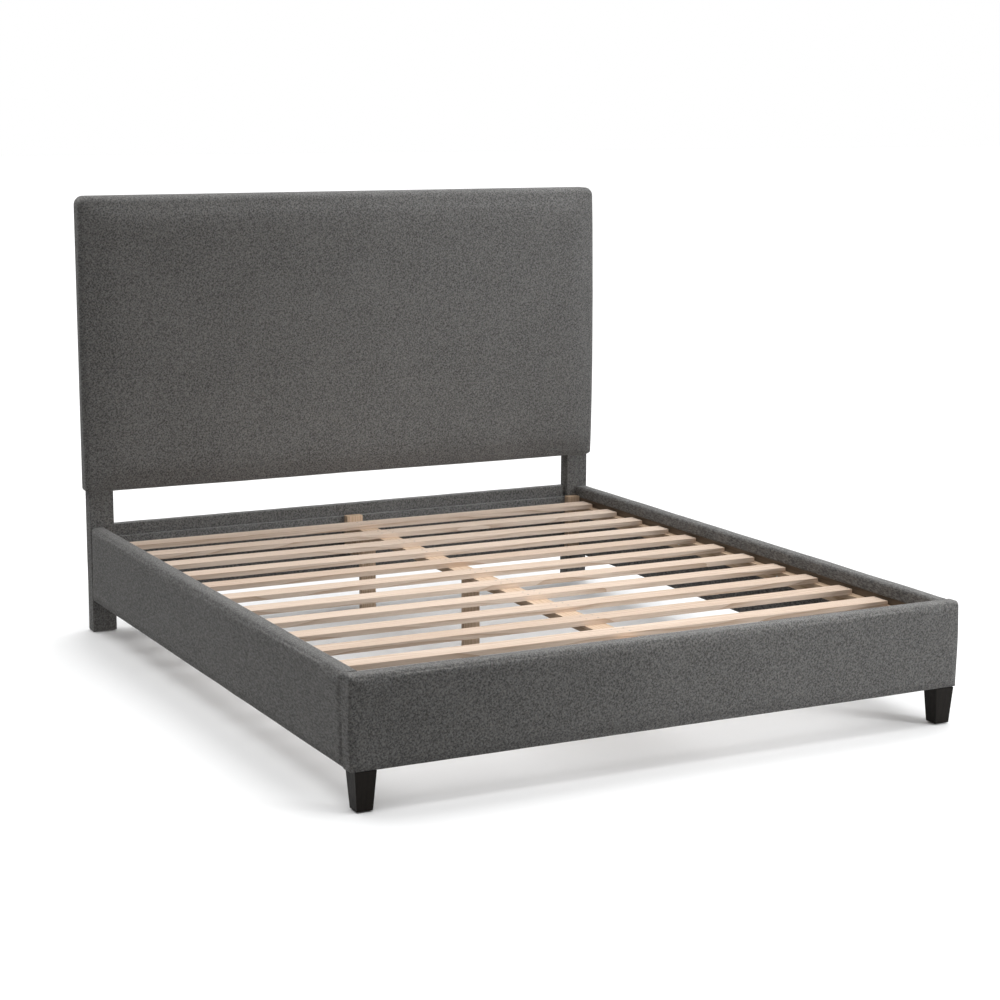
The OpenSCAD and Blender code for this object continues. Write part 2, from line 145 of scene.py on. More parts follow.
def tweed(name, colour, yarn=1.5 * MM, sheen=0.25):
    """Plain weave of heathered yarn, laid flat on whichever way the surface faces.

    u and v run along the warp and the weft. The threads wander as real ones do. The noise of the flecks
    is turned off the axes, because it fades on the planes of its own grid.
    """
    g = Graph(name)
    lies_flat = g.math("GREATER_THAN", g.nz, 0.70)
    faces_side = g.math("MULTIPLY", g.math("GREATER_THAN", g.nx, g.ny), g.math("SUBTRACT", 1.0, lies_flat))
    u = g.math("ADD", g.math("MULTIPLY", g.y, faces_side),
               g.math("MULTIPLY", g.x, g.math("SUBTRACT", 1.0, faces_side)))
    v = g.math("ADD", g.math("MULTIPLY", g.y, lies_flat),
               g.math("MULTIPLY", g.z, g.math("SUBTRACT", 1.0, lies_flat)))
    wander = g.math("MULTIPLY", g.math("SUBTRACT", g.noise(g.place, 45.0, 3.0, 0.6), 0.5), 14.0)
    a = g.math("ADD", g.math("MULTIPLY", u, math.pi / yarn), wander)
    b = g.math("SUBTRACT", g.math("MULTIPLY", v, math.pi / yarn), wander)
    warp = g.math("ABSOLUTE", g.math("SINE", a))
    weft = g.math("ABSOLUTE", g.math("SINE", b))
    crossing = g.math("MULTIPLY", g.math("COSINE", a), g.math("COSINE", b))
    over = g.stretch(crossing, -0.35, 0.35)
    weave = g.math("ADD", g.math("MULTIPLY", warp, over),
                   g.math("MULTIPLY", weft, g.math("SUBTRACT", 1.0, over)))
    slub_u = g.noise(g.join(g.math("MULTIPLY", u, 900.0), g.math("MULTIPLY", v, 90.0), 3.0), 1.0, 2.0)
    slub_v = g.noise(g.join(g.math("MULTIPLY", u, 90.0), g.math("MULTIPLY", v, 900.0), 7.0), 1.0, 2.0)
    slub = g.math("ADD", g.math("MULTIPLY", slub_u, over),
                  g.math("MULTIPLY", slub_v, g.math("SUBTRACT", 1.0, over)))
    drawn = g.math("MULTIPLY", g.y, g.math("SUBTRACT", 1.0, g.math("MULTIPLY", faces_side, 0.62)))
    turned = g.tree.nodes.new("ShaderNodeVectorRotate")
    turned.rotation_type = "EULER_XYZ"
    turned.inputs["Rotation"].default_value = (0.61, 0.47, 0.38)
    g.put(turned.inputs["Vector"], g.join(g.x, drawn, g.z))
    fleck = g.noise(turned.outputs[0], 195.0, 3.0, 0.6)
    cloud = g.noise(g.place, 6.0, 3.0, 0.6)
    tone = g.math("ADD", g.stretch(slub, 0.28, 0.72, 0.72, 1.22), g.stretch(fleck, 0.31, 0.70, -0.46, 0.55))
    tone = g.math("ADD", tone, g.stretch(cloud, 0.25, 0.75, -0.05, 0.05))
    tone = g.math("MULTIPLY", tone, g.stretch(weave, 0.0, 0.8, 0.70, 1.06))
    warm = g.noise(turned.outputs[0], 150.0, 2.0)
    yarn_colour = g.blend(warm, [c * k for c, k in zip(colour, (1.06, 1.01, 0.94))],
                          [c * k for c, k in zip(colour, (0.95, 0.99, 1.05))])
    g.set(Base_Color=g.blend(1.0, yarn_colour, g.grey(tone), "MULTIPLY"), Roughness=0.95,
          Sheen_Weight=sheen, Sheen_Roughness=0.45)
    g.bsdf.inputs["Specular IOR Level"].default_value = 0.2
    height = g.math("ADD", weave, g.math("MULTIPLY", fleck, 0.8))
    g.bump(height, 0.5 * MM, 0.55)
    return g.mat


def pine(name, light, dark, along, rough=0.62, knots=True, coat=0.0, shine=0.28):
    """Sawn softwood with its grain along one axis: growth bands, fibres, darker ends and knots."""
    g = Graph(name)
    axes = {"x": (g.x, g.y, g.z, g.nx), "y": (g.y, g.x, g.z, g.ny), "z": (g.z, g.x, g.y, g.nz)}
    length, across, deep, end = axes[along]
    wave = g.noise(g.join(g.math("MULTIPLY", length, 0.9), g.math("MULTIPLY", across, 7.0),
                          g.math("MULTIPLY", deep, 7.0)), 1.0, 2.0, 0.5)
    radial = g.math("ADD", across, g.math("MULTIPLY", deep, 0.55))
    phase = g.math("ADD", g.math("DIVIDE", radial, RING), g.math("MULTIPLY", wave, 9.0))
    band = g.math("FRACT", phase)
    late = g.math("POWER", band, 2.6)
    fibre = g.noise(g.join(g.math("MULTIPLY", length, 9.0), g.math("MULTIPLY", across, 620.0),
                           g.math("MULTIPLY", deep, 620.0)), 1.0, 3.0, 0.6)
    board = g.noise(g.join(g.math("MULTIPLY", length, 0.35), g.math("MULTIPLY", across, 5.3),
                           g.math("MULTIPLY", deep, 2.0)), 1.0, 1.0)
    share = g.math("ADD", g.math("MULTIPLY", late, 0.7), g.stretch(fibre, 0.3, 0.75, -0.2, 0.42))
    share = g.math("ADD", share, g.stretch(board, 0.3, 0.7, -0.14, 0.22), clamp=True)
    colour = g.blend(share, light, dark)
    if knots:
        cells = g.tree.nodes.new("ShaderNodeTexVoronoi")
        stretched = g.join(g.math("MULTIPLY", length, 2.3), g.math("MULTIPLY", across, 9.0),
                           g.math("MULTIPLY", deep, 9.0))
        g.put(cells.inputs["Vector"], stretched)
        cells.inputs["Scale"].default_value = 1.0
        knot = g.math("MULTIPLY", g.stretch(cells.outputs["Distance"], 0.035, 0.10, 1.0, 0.0), 0.55)
        colour = g.blend(knot, colour, [c * 0.45 for c in dark])
    end_face = g.stretch(end, 0.80, 0.95)
    colour = g.blend(g.math("MULTIPLY", end_face, 0.45), colour, [c * 0.8 for c in dark])
    g.set(Base_Color=colour, Roughness=g.stretch(fibre, 0.3, 0.7, rough - 0.08, rough + 0.12))
    g.bsdf.inputs["Coat Weight"].default_value = coat
    g.bsdf.inputs["Coat Roughness"].default_value = 0.3
    g.bsdf.inputs["Specular IOR Level"].default_value = shine
    height = g.math("ADD", fibre, g.math("MULTIPLY", late, 0.35))
    g.bump(height, 0.25 * MM, 0.6)
    return g.mat


def metal(name, colour, rough=0.32, grime=(0.25, 0.22, 0.18)):
    """Plated or bare metal with a mottled finish and dull patches."""
    g = Graph(name)
    patch = g.noise(g.place, 260.0, 4.0, 0.6)
    fine = g.noise(g.place, 2200.0, 2.0, 0.6)
    dull = g.stretch(patch, 0.52, 0.78, 0.0, 0.5)
    g.set(Base_Color=g.blend(dull, colour, grime),
          Roughness=g.stretch(patch, 0.3, 0.8, rough, rough + 0.3))
    g.bsdf.inputs["Metallic"].default_value = 1.0
    g.bump(fine, 0.03 * MM, 0.4)
    return g.mat


def speckled(name, colour, other, scale, rough, depth):
    """Matt material whose colour and surface vary in specks: moulded nylon, fibreboard or felted cloth."""
    g = Graph(name)
    speck = g.noise(g.place, scale, 4.0, 0.65)
    cloud = g.noise(g.place, 9.0, 2.0)
    share = g.math("ADD", g.stretch(speck, 0.3, 0.7, 0.0, 0.8), g.stretch(cloud, 0.3, 0.7, 0.0, 0.2),
                   clamp=True)
    g.set(Base_Color=g.blend(share, colour, other),
          Roughness=g.stretch(speck, 0.3, 0.7, rough - 0.06, rough + 0.08))
    g.bump(speck, depth, 0.6)
    return g.mat


def plain_floor():
    """Pale, very slightly uneven studio floor."""
    g = Graph("studio_floor")
    cloud = g.noise(g.place, 0.6, 2.0)
    g.set(Base_Color=g.blend(cloud, (0.935, 0.94, 0.945), (0.95, 0.955, 0.96)), Roughness=0.75)
    g.bsdf.inputs["Specular IOR Level"].default_value = 0.15
    return g.mat


# ---------------------------------------------------------------- padded blocks

def lattice_lines(length, step, low_r, high_r, marks=(), fine=5):
    """Coordinates of grid lines from 0 to length.

    fine of them share each rounded end, the rest are about step apart, and marks adds lines of its own.
    """
    low = [low_r * k / fine for k in range(fine)]
    high = [length - high_r * k / fine for k in range(fine)]
    count = max(1, round((length - low_r - high_r) / step))
    middle = [low_r + (length - low_r - high_r) * k / count for k in range(count + 1)]
    lines = sorted(low + middle + high + list(marks))
    kept = [lines[0]]
    for line in lines[1:]:
        if line - kept[-1] > 0.3 * MM:
            kept.append(line)
    return np.array(kept)


def to_disc(a, b):
    """Moves points of a unit quarter square onto the unit quarter disc, straight along their rays."""
    length = np.hypot(a, b)
    scale = np.where(length > 1e-9, np.maximum(a, b) / np.maximum(length, 1e-9), 1.0)
    return a * scale, b * scale


def round_profile(p, size, radii):
    """Rounds the four long edges. radii go with the corners low-low, high-low, low-high and high-high."""
    inward = np.zeros((len(p), 2))
    depth = np.full(len(p), np.inf)
    for axis in (0, 1):
        for gap, sign in ((p[:, axis].copy(), 1.0), (size[axis] - p[:, axis], -1.0)):
            nearer = gap < depth
            depth = np.where(nearer, gap, depth)
            inward[nearer] = 0.0
            inward[nearer, axis] = sign
    for (high_u, high_v), r in zip(((0, 0), (1, 0), (0, 1), (1, 1)), radii):
        gap_u = size[0] - p[:, 0] if high_u else p[:, 0].copy()
        gap_v = size[1] - p[:, 1] if high_v else p[:, 1].copy()
        near = (gap_u < r) & (gap_v < r)
        a, b = to_disc((r - gap_u[near]) / r, (r - gap_v[near]) / r)
        gap_u, gap_v = r - a * r, r - b * r
        p[near, 0] = size[0] - gap_u if high_u else gap_u
        p[near, 1] = size[1] - gap_v if high_v else gap_v
        length = np.maximum(np.hypot(a, b), 1e-9)
        depth[near] = r - np.hypot(a, b) * r
        inward[near, 0] = (-1 if high_u else 1) * a / length
        inward[near, 1] = (-1 if high_v else 1) * b / length
    return depth, inward


def round_cap(p, size, depth, inward, radius, high):
    """Rounds the edge all round one end. radius has a value for every point."""
    gap = size[2] - p[:, 2] if high else p[:, 2].copy()
    near = (gap < radius) & (depth < radius)
    r = radius[near]
    a, b = to_disc((r - depth[near]) / r, (r - gap[near]) / r)
    p[near, :2] += inward[near] * ((r - a * r) - depth[near])[:, None]
    p[near, 2] = size[2] - (r - b * r) if high else r - b * r


def lattice_mesh(name, lines):
    """Mesh of the six faces of a box grid. Returns the object and its points in the grid's own axes."""
    counts = [len(line) for line in lines]
    index = -np.ones(counts, dtype=int)
    outer = np.zeros(counts, dtype=bool)
    for axis in range(3):
        for end in (0, -1):
            outer[(slice(None),) * axis + (end,)] = True
    index[outer] = np.arange(outer.sum())
    grid = np.stack(np.meshgrid(*lines, indexing="ij"), -1)
    faces = []
    for axis in range(3):
        for end in (0, -1):
            sheet = index[(slice(None),) * axis + (end,)]
            quads = np.stack([sheet[:-1, :-1], sheet[1:, :-1], sheet[1:, 1:], sheet[:-1, 1:]], -1)
            quads = quads.reshape(-1, 4)
            faces.append(quads if (end == -1) == (axis != 1) else quads[:, ::-1])
    points = grid[outer]
    mesh = bpy.data.meshes.new(name)
    mesh.from_pydata(points.tolist(), [], np.concatenate(faces).tolist())
    obj = bpy.data.objects.new(name, mesh)
    SCENE.collection.objects.link(obj)
    return obj, points


def soft_block(name, low, high, axes, radii, caps, step, marks=((), (), ()), fine=5):
    """Closed rounded block between two corners.

    axes names the profile's two axes and the long one, as in "yzx", and radii rounds the four long edges.
    caps gives each end's four edge radii, at the profile's first axis low and high, then its second.
    """
    order = ["xyz".index(a) for a in axes]
    size = np.array([high[k] - low[k] for k in order])
    ends = [(max(radii[0], radii[2], caps[0][0]), max(radii[1], radii[3], caps[0][1])),
            (max(radii[0], radii[1], caps[0][2]), max(radii[2], radii[3], caps[0][3])),
            (max(caps[0]), max(caps[1]))]
    lines = [lattice_lines(size[k], step, *ends[k], marks[k], fine) for k in range(3)]
    obj, points = lattice_mesh(name, lines)
    gaps = np.stack([points[:, 0], size[0] - points[:, 0], points[:, 1], size[1] - points[:, 1]], 1)
    share = np.exp((gaps.min(1, keepdims=True) - gaps) / (5 * MM))
    share /= share.sum(1, keepdims=True)
    depth, inward = round_profile(points, size, radii)
    for high_end in (False, True):
        round_cap(points, size, depth, inward, share @ np.array(caps[high_end]), high_end)
    placed = np.empty_like(points)
    for k, axis in enumerate(order):
        placed[:, axis] = points[:, k] + low[axis]
    set_points(obj, placed)
    turn = Matrix([[1.0 if order[row] == column else 0.0 for column in range(3)] for row in range(3)])
    if turn.determinant() < 0:
        obj.data.flip_normals()
    obj.data.shade_smooth()
    return obj


def get_points(obj):
    flat = np.empty(len(obj.data.vertices) * 3)
    obj.data.vertices.foreach_get("co", flat)
    return flat.reshape(-1, 3)


def get_normals(obj):
    flat = np.empty(len(obj.data.vertices) * 3)
    obj.data.vertices.foreach_get("normal", flat)
    return flat.reshape(-1, 3)


def set_points(obj, points):
    obj.data.vertices.foreach_set("co", points.reshape(-1))
    obj.data.update()


def inflate(obj, held, most):
    """Swells a closed mesh with cloth pressure. Points where held is true stay, and most caps the movement.

    Only the outward part of the movement is kept, so that the pull of a wide face doesn't draw in the
    edges round it.
    """
    rest, normals = get_points(obj), get_normals(obj)
    group = obj.vertex_groups.new(name="held")
    group.add(np.nonzero(held)[0].tolist(), 1.0, "REPLACE")
    cloth = obj.modifiers.new("cloth", "CLOTH")
    cloth.settings.vertex_group_mass = "held"
    cloth.settings.quality = 5
    cloth.settings.use_pressure = True
    cloth.settings.uniform_pressure_force = CLOTH_PRESSURE
    cloth.settings.effector_weights.gravity = 0.0
    cloth.point_cache.frame_start = 1
    cloth.point_cache.frame_end = CLOTH_FRAMES
    for number in range(1, CLOTH_FRAMES + 1):
        SCENE.frame_set(number)
    solved = obj.evaluated_get(bpy.context.evaluated_depsgraph_get()).to_mesh()
    flat = np.empty(len(solved.vertices) * 3)
    solved.vertices.foreach_get("co", flat)
    obj.modifiers.remove(cloth)
    obj.vertex_groups.remove(group)
    SCENE.frame_set(1)
    lift = ((flat.reshape(-1, 3) - rest) * normals).sum(1)
    # A soft cut at nothing, then a soft cap at most.
    lift = (lift + np.sqrt(lift ** 2 + (0.6 * MM) ** 2)) / 2 - 0.3 * MM
    set_points(obj, rest + normals * (most * np.tanh(lift / most))[:, None])


def waves(points, size, seed):
    """Smooth random height over the points, mostly between -1 and 1, with bumps about size across."""
    rng = np.random.default_rng(seed)
    total = np.zeros(len(points))
    for _ in range(WAVE_COUNT):
        way = rng.normal(size=3)
        way *= rng.uniform(0.6, 1.5) * math.tau / size / np.linalg.norm(way)
        total += np.sin(points @ way + rng.uniform(0, math.tau))
    return total / math.sqrt(WAVE_COUNT) * 0.7


def crease(points, a, b, width, depth, toward):
    """Presses a narrow groove into the points along the line from a to b, fading at b."""
    a, b = np.array(a), np.array(b)
    span = b - a
    along = np.clip((points - a) @ span / (span @ span), 0, 1)
    distance = np.linalg.norm(points - (a + along[:, None] * span), axis=1)
    push = np.array(toward) / np.linalg.norm(toward)
    points += (depth * np.exp(-(distance / width) ** 2) * (1 - along ** 3))[:, None] * push


def finish_piece(obj, material, slot, *nodes):
    """Gives a piece its material and one subdivision, and puts it on the body in place of the nodes."""
    obj.data.materials.append(material)
    smooth = obj.modifiers.new("smooth", "SUBSURF")
    smooth.levels = smooth.render_levels = 1
    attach(obj, BODY)
    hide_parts(*nodes)


# ---------------------------------------------------------------- materials

FABRIC = tweed("charcoal_tweed", (0.148, 0.1465, 0.143))
DUST_CLOTH = speckled("black_dust_cloth", (0.012, 0.012, 0.013), (0.035, 0.035, 0.037), 900.0, 0.88,
                      0.15 * MM)
BOARD = speckled("raw_fibreboard", (0.42, 0.29, 0.17), (0.30, 0.20, 0.11), 700.0, 0.85, 0.1 * MM)
NYLON = speckled("black_nylon", (0.016, 0.016, 0.017), (0.03, 0.03, 0.031), 1600.0, 0.5, 0.03 * MM)
ZINC = metal("zinc_plate", (0.62, 0.63, 0.64))
WIRE = metal("nail_wire", (0.30, 0.28, 0.26), 0.4)
BRASS = metal("turned_brass", (0.72, 0.54, 0.24), 0.28, (0.30, 0.20, 0.10))
# Early wood and late wood: of the slats, of the other sawn boards, of the feet and of the rails' boards.
PALE = (0.70, 0.575, 0.475)
AMBER = (0.44, 0.31, 0.22)
SAWN = (0.63, 0.475, 0.35)
RUST = (0.43, 0.295, 0.185)
ESPRESSO = (0.009, 0.0065, 0.0045)
EBONY = (0.004, 0.003, 0.002)
# The boards inside the pads: a brown board, made darker still as painted shade, because their bare strips,
# the slot at the footboard and their faces under the bed sit in shade.
BOARD_BROWN_AND_SHADE = (0.17, 0.13, 0.095)
BOARD_LATE_AND_SHADE = (0.09, 0.066, 0.045)
SLAT_PINE = pine("slat_pine", PALE, AMBER, "x")
LONG_PINE = pine("long_pine", SAWN, RUST, "y")
BLOCK_PINE = pine("block_pine", SAWN, RUST, "z")
CROSS_PINE = pine("cross_pine", SAWN, RUST, "x")
# The pads' boards, carrying the painted shade of the two colours above.
CORE_BOARD = pine("core_brown_and_shade", BOARD_BROWN_AND_SHADE, BOARD_LATE_AND_SHADE, "y", knots=False)
CORE_ACROSS = pine("core_across_brown_and_shade", BOARD_BROWN_AND_SHADE, BOARD_LATE_AND_SHADE, "x", knots=False)
FOOT_WOOD = pine("espresso_wood", ESPRESSO, EBONY, "z", rough=0.5, knots=False, coat=0.03, shine=0.12)
DOWEL_WOOD = pine("dowel_beech", (0.60, 0.42, 0.26), (0.45, 0.30, 0.17), "x", knots=False)

# The material of each of the record's slots, then those of the nodes whose grain runs another way.
LOOKS = {
    "slat_wood": SLAT_PINE, "support_wood": BLOCK_PINE, "leg_wood": BLOCK_PINE, "foot_wood": FOOT_WOOD,
    "dowel_wood": DOWEL_WOOD, "face_board": BOARD, "frame_timber": LONG_PINE, "zinc_steel": ZINC,
    "staple_steel": ZINC, "nail_steel": WIRE, "insert_brass": BRASS, "glide_plastic": NYLON,
    "back_cloth": DUST_CLOTH, "cover_fabric": FABRIC, "foam": BOARD,
}
OWN_LOOKS = {
    "centre_beam": LONG_PINE, "slat_cleat_left": LONG_PINE, "slat_cleat_right": LONG_PINE,
    "headboard_stile_left": BLOCK_PINE, "headboard_stile_right": BLOCK_PINE,
    "headboard_studs": BLOCK_PINE,
    "headboard_top_rail": CROSS_PINE, "headboard_bottom_rail": CROSS_PINE, "footboard_core": CORE_ACROSS,
    "side_rail_core_left": CORE_BOARD, "side_rail_core_right": CORE_BOARD,
    "head_crossrail_core": CROSS_PINE, "head_ledger": CROSS_PINE,
}
# Width of the eased edges of the boards that show.
EASED = {"slat_wood": 1.6 * MM, "support_wood": 1.2 * MM, "leg_wood": 1.5 * MM, "foot_wood": 2.2 * MM}


def dress_cad():
    """Gives every CAD node its material, and the sawn boards eased edges."""
    slots = {part["node"]: part["material_slot"] for part in frame["record"]["subparts"]}
    for name, obj in frame["nodes"].items():
        slot = slots[name]
        obj.data.materials.clear()
        obj.data.materials.append(OWN_LOOKS.get(name, LOOKS[slot]))
        if slot in EASED:
            weld = obj.modifiers.new("weld", "WELD")
            weld.merge_threshold = 0.01 * MM
            bevel = obj.modifiers.new("eased", "BEVEL")
            bevel.width = EASED[slot]
            bevel.segments = 3
            bevel.limit_method = "ANGLE"
            bevel.angle_limit = math.radians(50)


# ---------------------------------------------------------------- upholstery

def headboard_panel():
    """The padded panel: a crowned closed form with tucked corners and a back let in for the dust cloth."""
    low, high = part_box("headboard_cover")
    swell, crown = 2.5 * MM, 28 * MM
    foot_of_panel = low.z - 4 * MM
    reach = high.x - 1 * MM
    front = low.y + swell + crown - 6 * MM
    edge, back = 20 * MM, 7 * MM
    fall_side, fall_above, fall_below = 150 * MM, 130 * MM, 120 * MM
    hem, let_in = 44 * MM, 9 * MM
    corners = (14 * MM, 14 * MM, 31 * MM, 31 * MM)
    obj = soft_block("headboard_panel", (-reach, front, foot_of_panel), (reach, high.y, high.z - 1 * MM),
                     "xzy", corners, ((edge,) * 4, (back,) * 4), 14 * MM, fine=8)
    points = get_points(obj)
    inflate(obj, points[:, 1] > high.y - 22 * MM, swell)
    points, normals = get_points(obj), get_normals(obj)
    loose = np.clip((high.y - 10 * MM - points[:, 1]) / (40 * MM), 0, 1)
    height = 0.9 * MM * waves(points, 0.55, 3) + 0.35 * MM * waves(points, 0.14, 4)
    points += normals * (height * loose)[:, None]
    middle = (high.z + foot_of_panel) / 2
    half_high = (high.z - foot_of_panel) / 2
    from_side = np.clip((reach - np.abs(points[:, 0])) / fall_side, 0, 1)
    fall_end = np.where(points[:, 2] > middle, fall_above, fall_below)
    from_end = np.clip((half_high - np.abs(points[:, 2] - middle)) / fall_end, 0, 1)
    dome = (1 - (1 - from_side) ** 2.2) * (1 - (1 - from_end) ** 2.2)
    points[:, 1] -= crown * dome * loose
    on_back = points[:, 1] > high.y - 1 * MM
    inside = np.minimum(reach - np.abs(points[:, 0]), half_high - np.abs(points[:, 2] - middle))
    points[on_back, 1] -= let_in * np.clip((inside[on_back] - hem) / (16 * MM), 0, 1)
    at_side = np.clip((np.abs(points[:, 0]) - reach + 70 * MM) / (70 * MM), 0, 1)
    up = (points[:, 2] - middle) / half_high
    belly = 6 * MM * (1 - up ** 2) + 1.5 * MM * (1 - up)
    points[:, 0] += np.sign(points[:, 0]) * belly * at_side * loose
    for sx in (-1, 1):
        for sz, z, r in ((1, high.z, corners[3]), (-1, foot_of_panel, corners[0])):
            tuck = r * (1 - math.sqrt(0.5))
            x = sx * (reach - tuck)
            bend = z - sz * tuck
            crease(points, (x, high.y - 8 * MM, bend), (x, front + 10 * MM, bend),
                   2.6 * MM, 1.3 * MM, (-sx, 0, -sz))
            crease(points, (x, front + 12 * MM, bend), (x - sx * 26 * MM, front, bend - sz * 26 * MM),
                   3.2 * MM, 1.6 * MM, (-0.4 * sx, 1, -0.4 * sz))
    set_points(obj, points)
    finish_piece(obj, FABRIC, "cover_fabric", "headboard_cover", "headboard_foam", "headboard_edge_foam")


def strip_recess(points, axis, face, inward, low_z, high_z):
    """Sinks the strip of an inner face between two heights, so that the board in the pad shows there."""
    on_face = np.abs(points[:, axis] - face) < 1 * MM
    strip = on_face & (points[:, 2] > low_z + 0.2 * MM) & (points[:, 2] < high_z - 0.2 * MM)
    points[strip, axis] += inward * STRIP_DEPTH


def strip_heights():
    """Lowest and highest point of the bare strip on a rail's inner face, as measured from the floor."""
    cleat_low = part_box("slat_cleat_left")[0].z
    rail_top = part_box("side_rail_cover_left")[1].z
    return cleat_low, rail_top - 41 * MM


def strip_marks(base):
    """Grid lines at both edges of the bare strip, as measured from a pad's underside at height base."""
    bare_low, bare_high = strip_heights()
    return [bare_low - base, bare_low - base + STEP_HEIGHT,
            bare_high - base - STEP_HEIGHT, bare_high - base]


def side_rail(side):
    """One side rail's pad. Its foot end stands back below the top, which leaves a slot at the footboard."""
    low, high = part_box(f"side_rail_cover_{side}")
    outward = -1 if side == "left" else 1
    swell, inset = 4 * MM, 1.5 * MM
    bare_low, bare_high = strip_heights()
    top_out, top_in, low_out, low_in = 15 * MM, 11 * MM, 4 * MM, 2 * MM
    foot_out, head_out, in_cap, low_cap, top_cap = 4 * MM, 5 * MM, 1 * MM, 3 * MM, 16 * MM
    if side == "left":
        low = Vector((low.x + inset, low.y, low.z))
        radii = (low_out, low_in, top_out, top_in)
        foot_cap = (foot_out, in_cap, low_cap, 2 * MM)
        head_cap = (head_out, in_cap, low_cap, top_cap)
    else:
        high = Vector((high.x - inset, high.y, high.z))
        radii = (low_in, low_out, top_in, top_out)
        foot_cap = (in_cap, foot_out, low_cap, 2 * MM)
        head_cap = (in_cap, head_out, low_cap, top_cap)
    obj = soft_block(f"side_rail_pad_{side}", low, high, "xzy", radii, (foot_cap, head_cap), 11 * MM,
                     ((), strip_marks(low.z), ()))
    points = get_points(obj)
    inner = high.x if side == "left" else low.x
    held = np.abs(points[:, 0] - inner) < 20 * MM
    inflate(obj, held & (points[:, 2] < high.z - 12 * MM), swell)
    points, normals = get_points(obj), get_normals(obj)
    loose = np.clip((np.abs(points[:, 0] - inner) - 12 * MM) / (20 * MM), 0, 1)
    ends = np.clip(np.minimum(points[:, 1] - low.y, high.y - points[:, 1]) / (40 * MM), 0, 1)
    height = 0.6 * MM * waves(points, 0.45, 11) + 0.3 * MM * waves(points, 0.12, 12)
    points += normals * (height * loose * ends)[:, None]
    strip_recess(points, 0, inner, outward, bare_low, bare_high)
    slot_width, slot_run = 7 * MM, 60 * MM
    from_foot = np.clip(1 - (points[:, 1] - low.y) / slot_run, 0, 1)
    below_top = np.clip((high.z - points[:, 2]) / (18 * MM) - 0.4, 0, 1)
    outer_side = np.clip(np.abs(points[:, 0] - inner) / (12 * MM) - 1, 0, 1)
    points[:, 1] += slot_width * from_foot * below_top * outer_side
    set_points(obj, points)
    finish_piece(obj, FABRIC, "cover_fabric", f"side_rail_cover_{side}", f"side_rail_foam_{side}")


def footboard():
    """The footboard's pad, wrapped round both ends, with a tuck across each top corner."""
    low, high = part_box("footboard_cover")
    swell, end_belly = 4 * MM, 3 * MM
    bare_low, bare_high = strip_heights()
    wrap = Vector((1.5 * MM, 0, 0))
    low = low - wrap + Vector((0, 2 * MM, 0))
    high = high + wrap
    radii = (4 * MM, 2 * MM, 14 * MM, 9 * MM)
    cap = (9 * MM, 3 * MM, 4 * MM, 7 * MM)
    obj = soft_block("footboard_pad", low, high, "yzx", radii, (cap, cap), 11 * MM,
                     ((), strip_marks(low.z), ()))
    points = get_points(obj)
    held = points[:, 1] > high.y - 20 * MM
    inflate(obj, held & (points[:, 2] < high.z - 12 * MM), swell)
    points, normals = get_points(obj), get_normals(obj)
    loose = np.clip((high.y - 12 * MM - points[:, 1]) / (20 * MM), 0, 1)
    height = 0.6 * MM * waves(points, 0.45, 21) + 0.3 * MM * waves(points, 0.12, 22)
    points += normals * (height * loose)[:, None]
    up = (points[:, 2] - (low.z + high.z) / 2) / (high.z - low.z) * 2
    at_end = np.clip((np.abs(points[:, 0]) - high.x + 50 * MM) / (50 * MM), 0, 1)
    points[:, 0] += np.sign(points[:, 0]) * end_belly * (1 - up ** 2) * at_end
    between = np.abs(points[:, 0]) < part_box("side_rail_cover_right")[0].x
    strip = points[between]
    strip_recess(strip, 1, high.y, -1, bare_low, bare_high)
    points[between] = strip
    for sx in (-1, 1):
        crease(points, (sx * (high.x - 3 * MM), low.y + 2 * MM, high.z - 3 * MM),
               (sx * (high.x - 34 * MM), high.y - 6 * MM, high.z), 2.8 * MM, 1.5 * MM, (0, 0, -1))
    set_points(obj, points)
    finish_piece(obj, FABRIC, "cover_fabric", "footboard_cover", "footboard_foam")


def wrapped_board(name, node, axes, radii, cap, seed, raise_top=0.0, drop=0.0):
    """Fabric drawn tight over a board: a rounded block with faint hollows."""
    low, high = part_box(node)
    low, high = low - Vector((0, 0, drop)), high + Vector((0, 0, raise_top))
    obj = soft_block(name, low, high, axes, radii, ((cap,) * 4, (cap,) * 4), 12 * MM)
    points, normals = get_points(obj), get_normals(obj)
    points += normals * (0.3 * MM * (waves(points, 0.16, seed) - 1.0))[:, None]
    set_points(obj, points)
    finish_piece(obj, FABRIC, "cover_fabric", node)


def open_bays(x, z):
    """From 0 on the wood to 1 in the middle of each opening of the headboard's frame, at arrays x and z."""
    stud_low, stud_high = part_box("headboard_studs")
    stile_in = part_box("headboard_stile_right")[0].x
    half_stud = 35 * MM
    pitch = stud_high.x - half_stud
    offset = np.minimum.reduce([np.abs(x - k * pitch) for k in (-1, 0, 1)]) - half_stud
    across = np.minimum(offset, stile_in - np.abs(x))
    up = np.minimum(z - stud_low.z, stud_high.z - z)
    return np.clip(across / (150 * MM), 0, 1) ** 0.6 * np.clip(up / (160 * MM), 0, 1) ** 0.6


def back_cloth():
    """The dust cloth over the panel's back, tight over the wood and a little slack across the openings."""
    low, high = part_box("headboard_back_cloth")
    thin = (0.1 * MM,) * 4
    obj = soft_block("back_dust_cloth", low, high, "xzy", (1 * MM,) * 4, (thin, thin), 14 * MM)
    points = get_points(obj)
    x, z = points[:, 0], points[:, 2]
    edge = np.minimum.reduce([x - low.x, high.x - x, z - low.z, high.z - z])
    bay = open_bays(x, z)
    pulls = np.sin(x * 43) * np.exp(-edge / (50 * MM)) * np.clip(edge / (12 * MM), 0, 1)
    points[:, 1] += bay * (-3.2 * MM + 1.6 * MM * waves(points, 0.22, 32)) - 0.25 * MM * (1 + pulls)
    set_points(obj, points)
    finish_piece(obj, DUST_CLOTH, "back_cloth", "headboard_back_cloth")


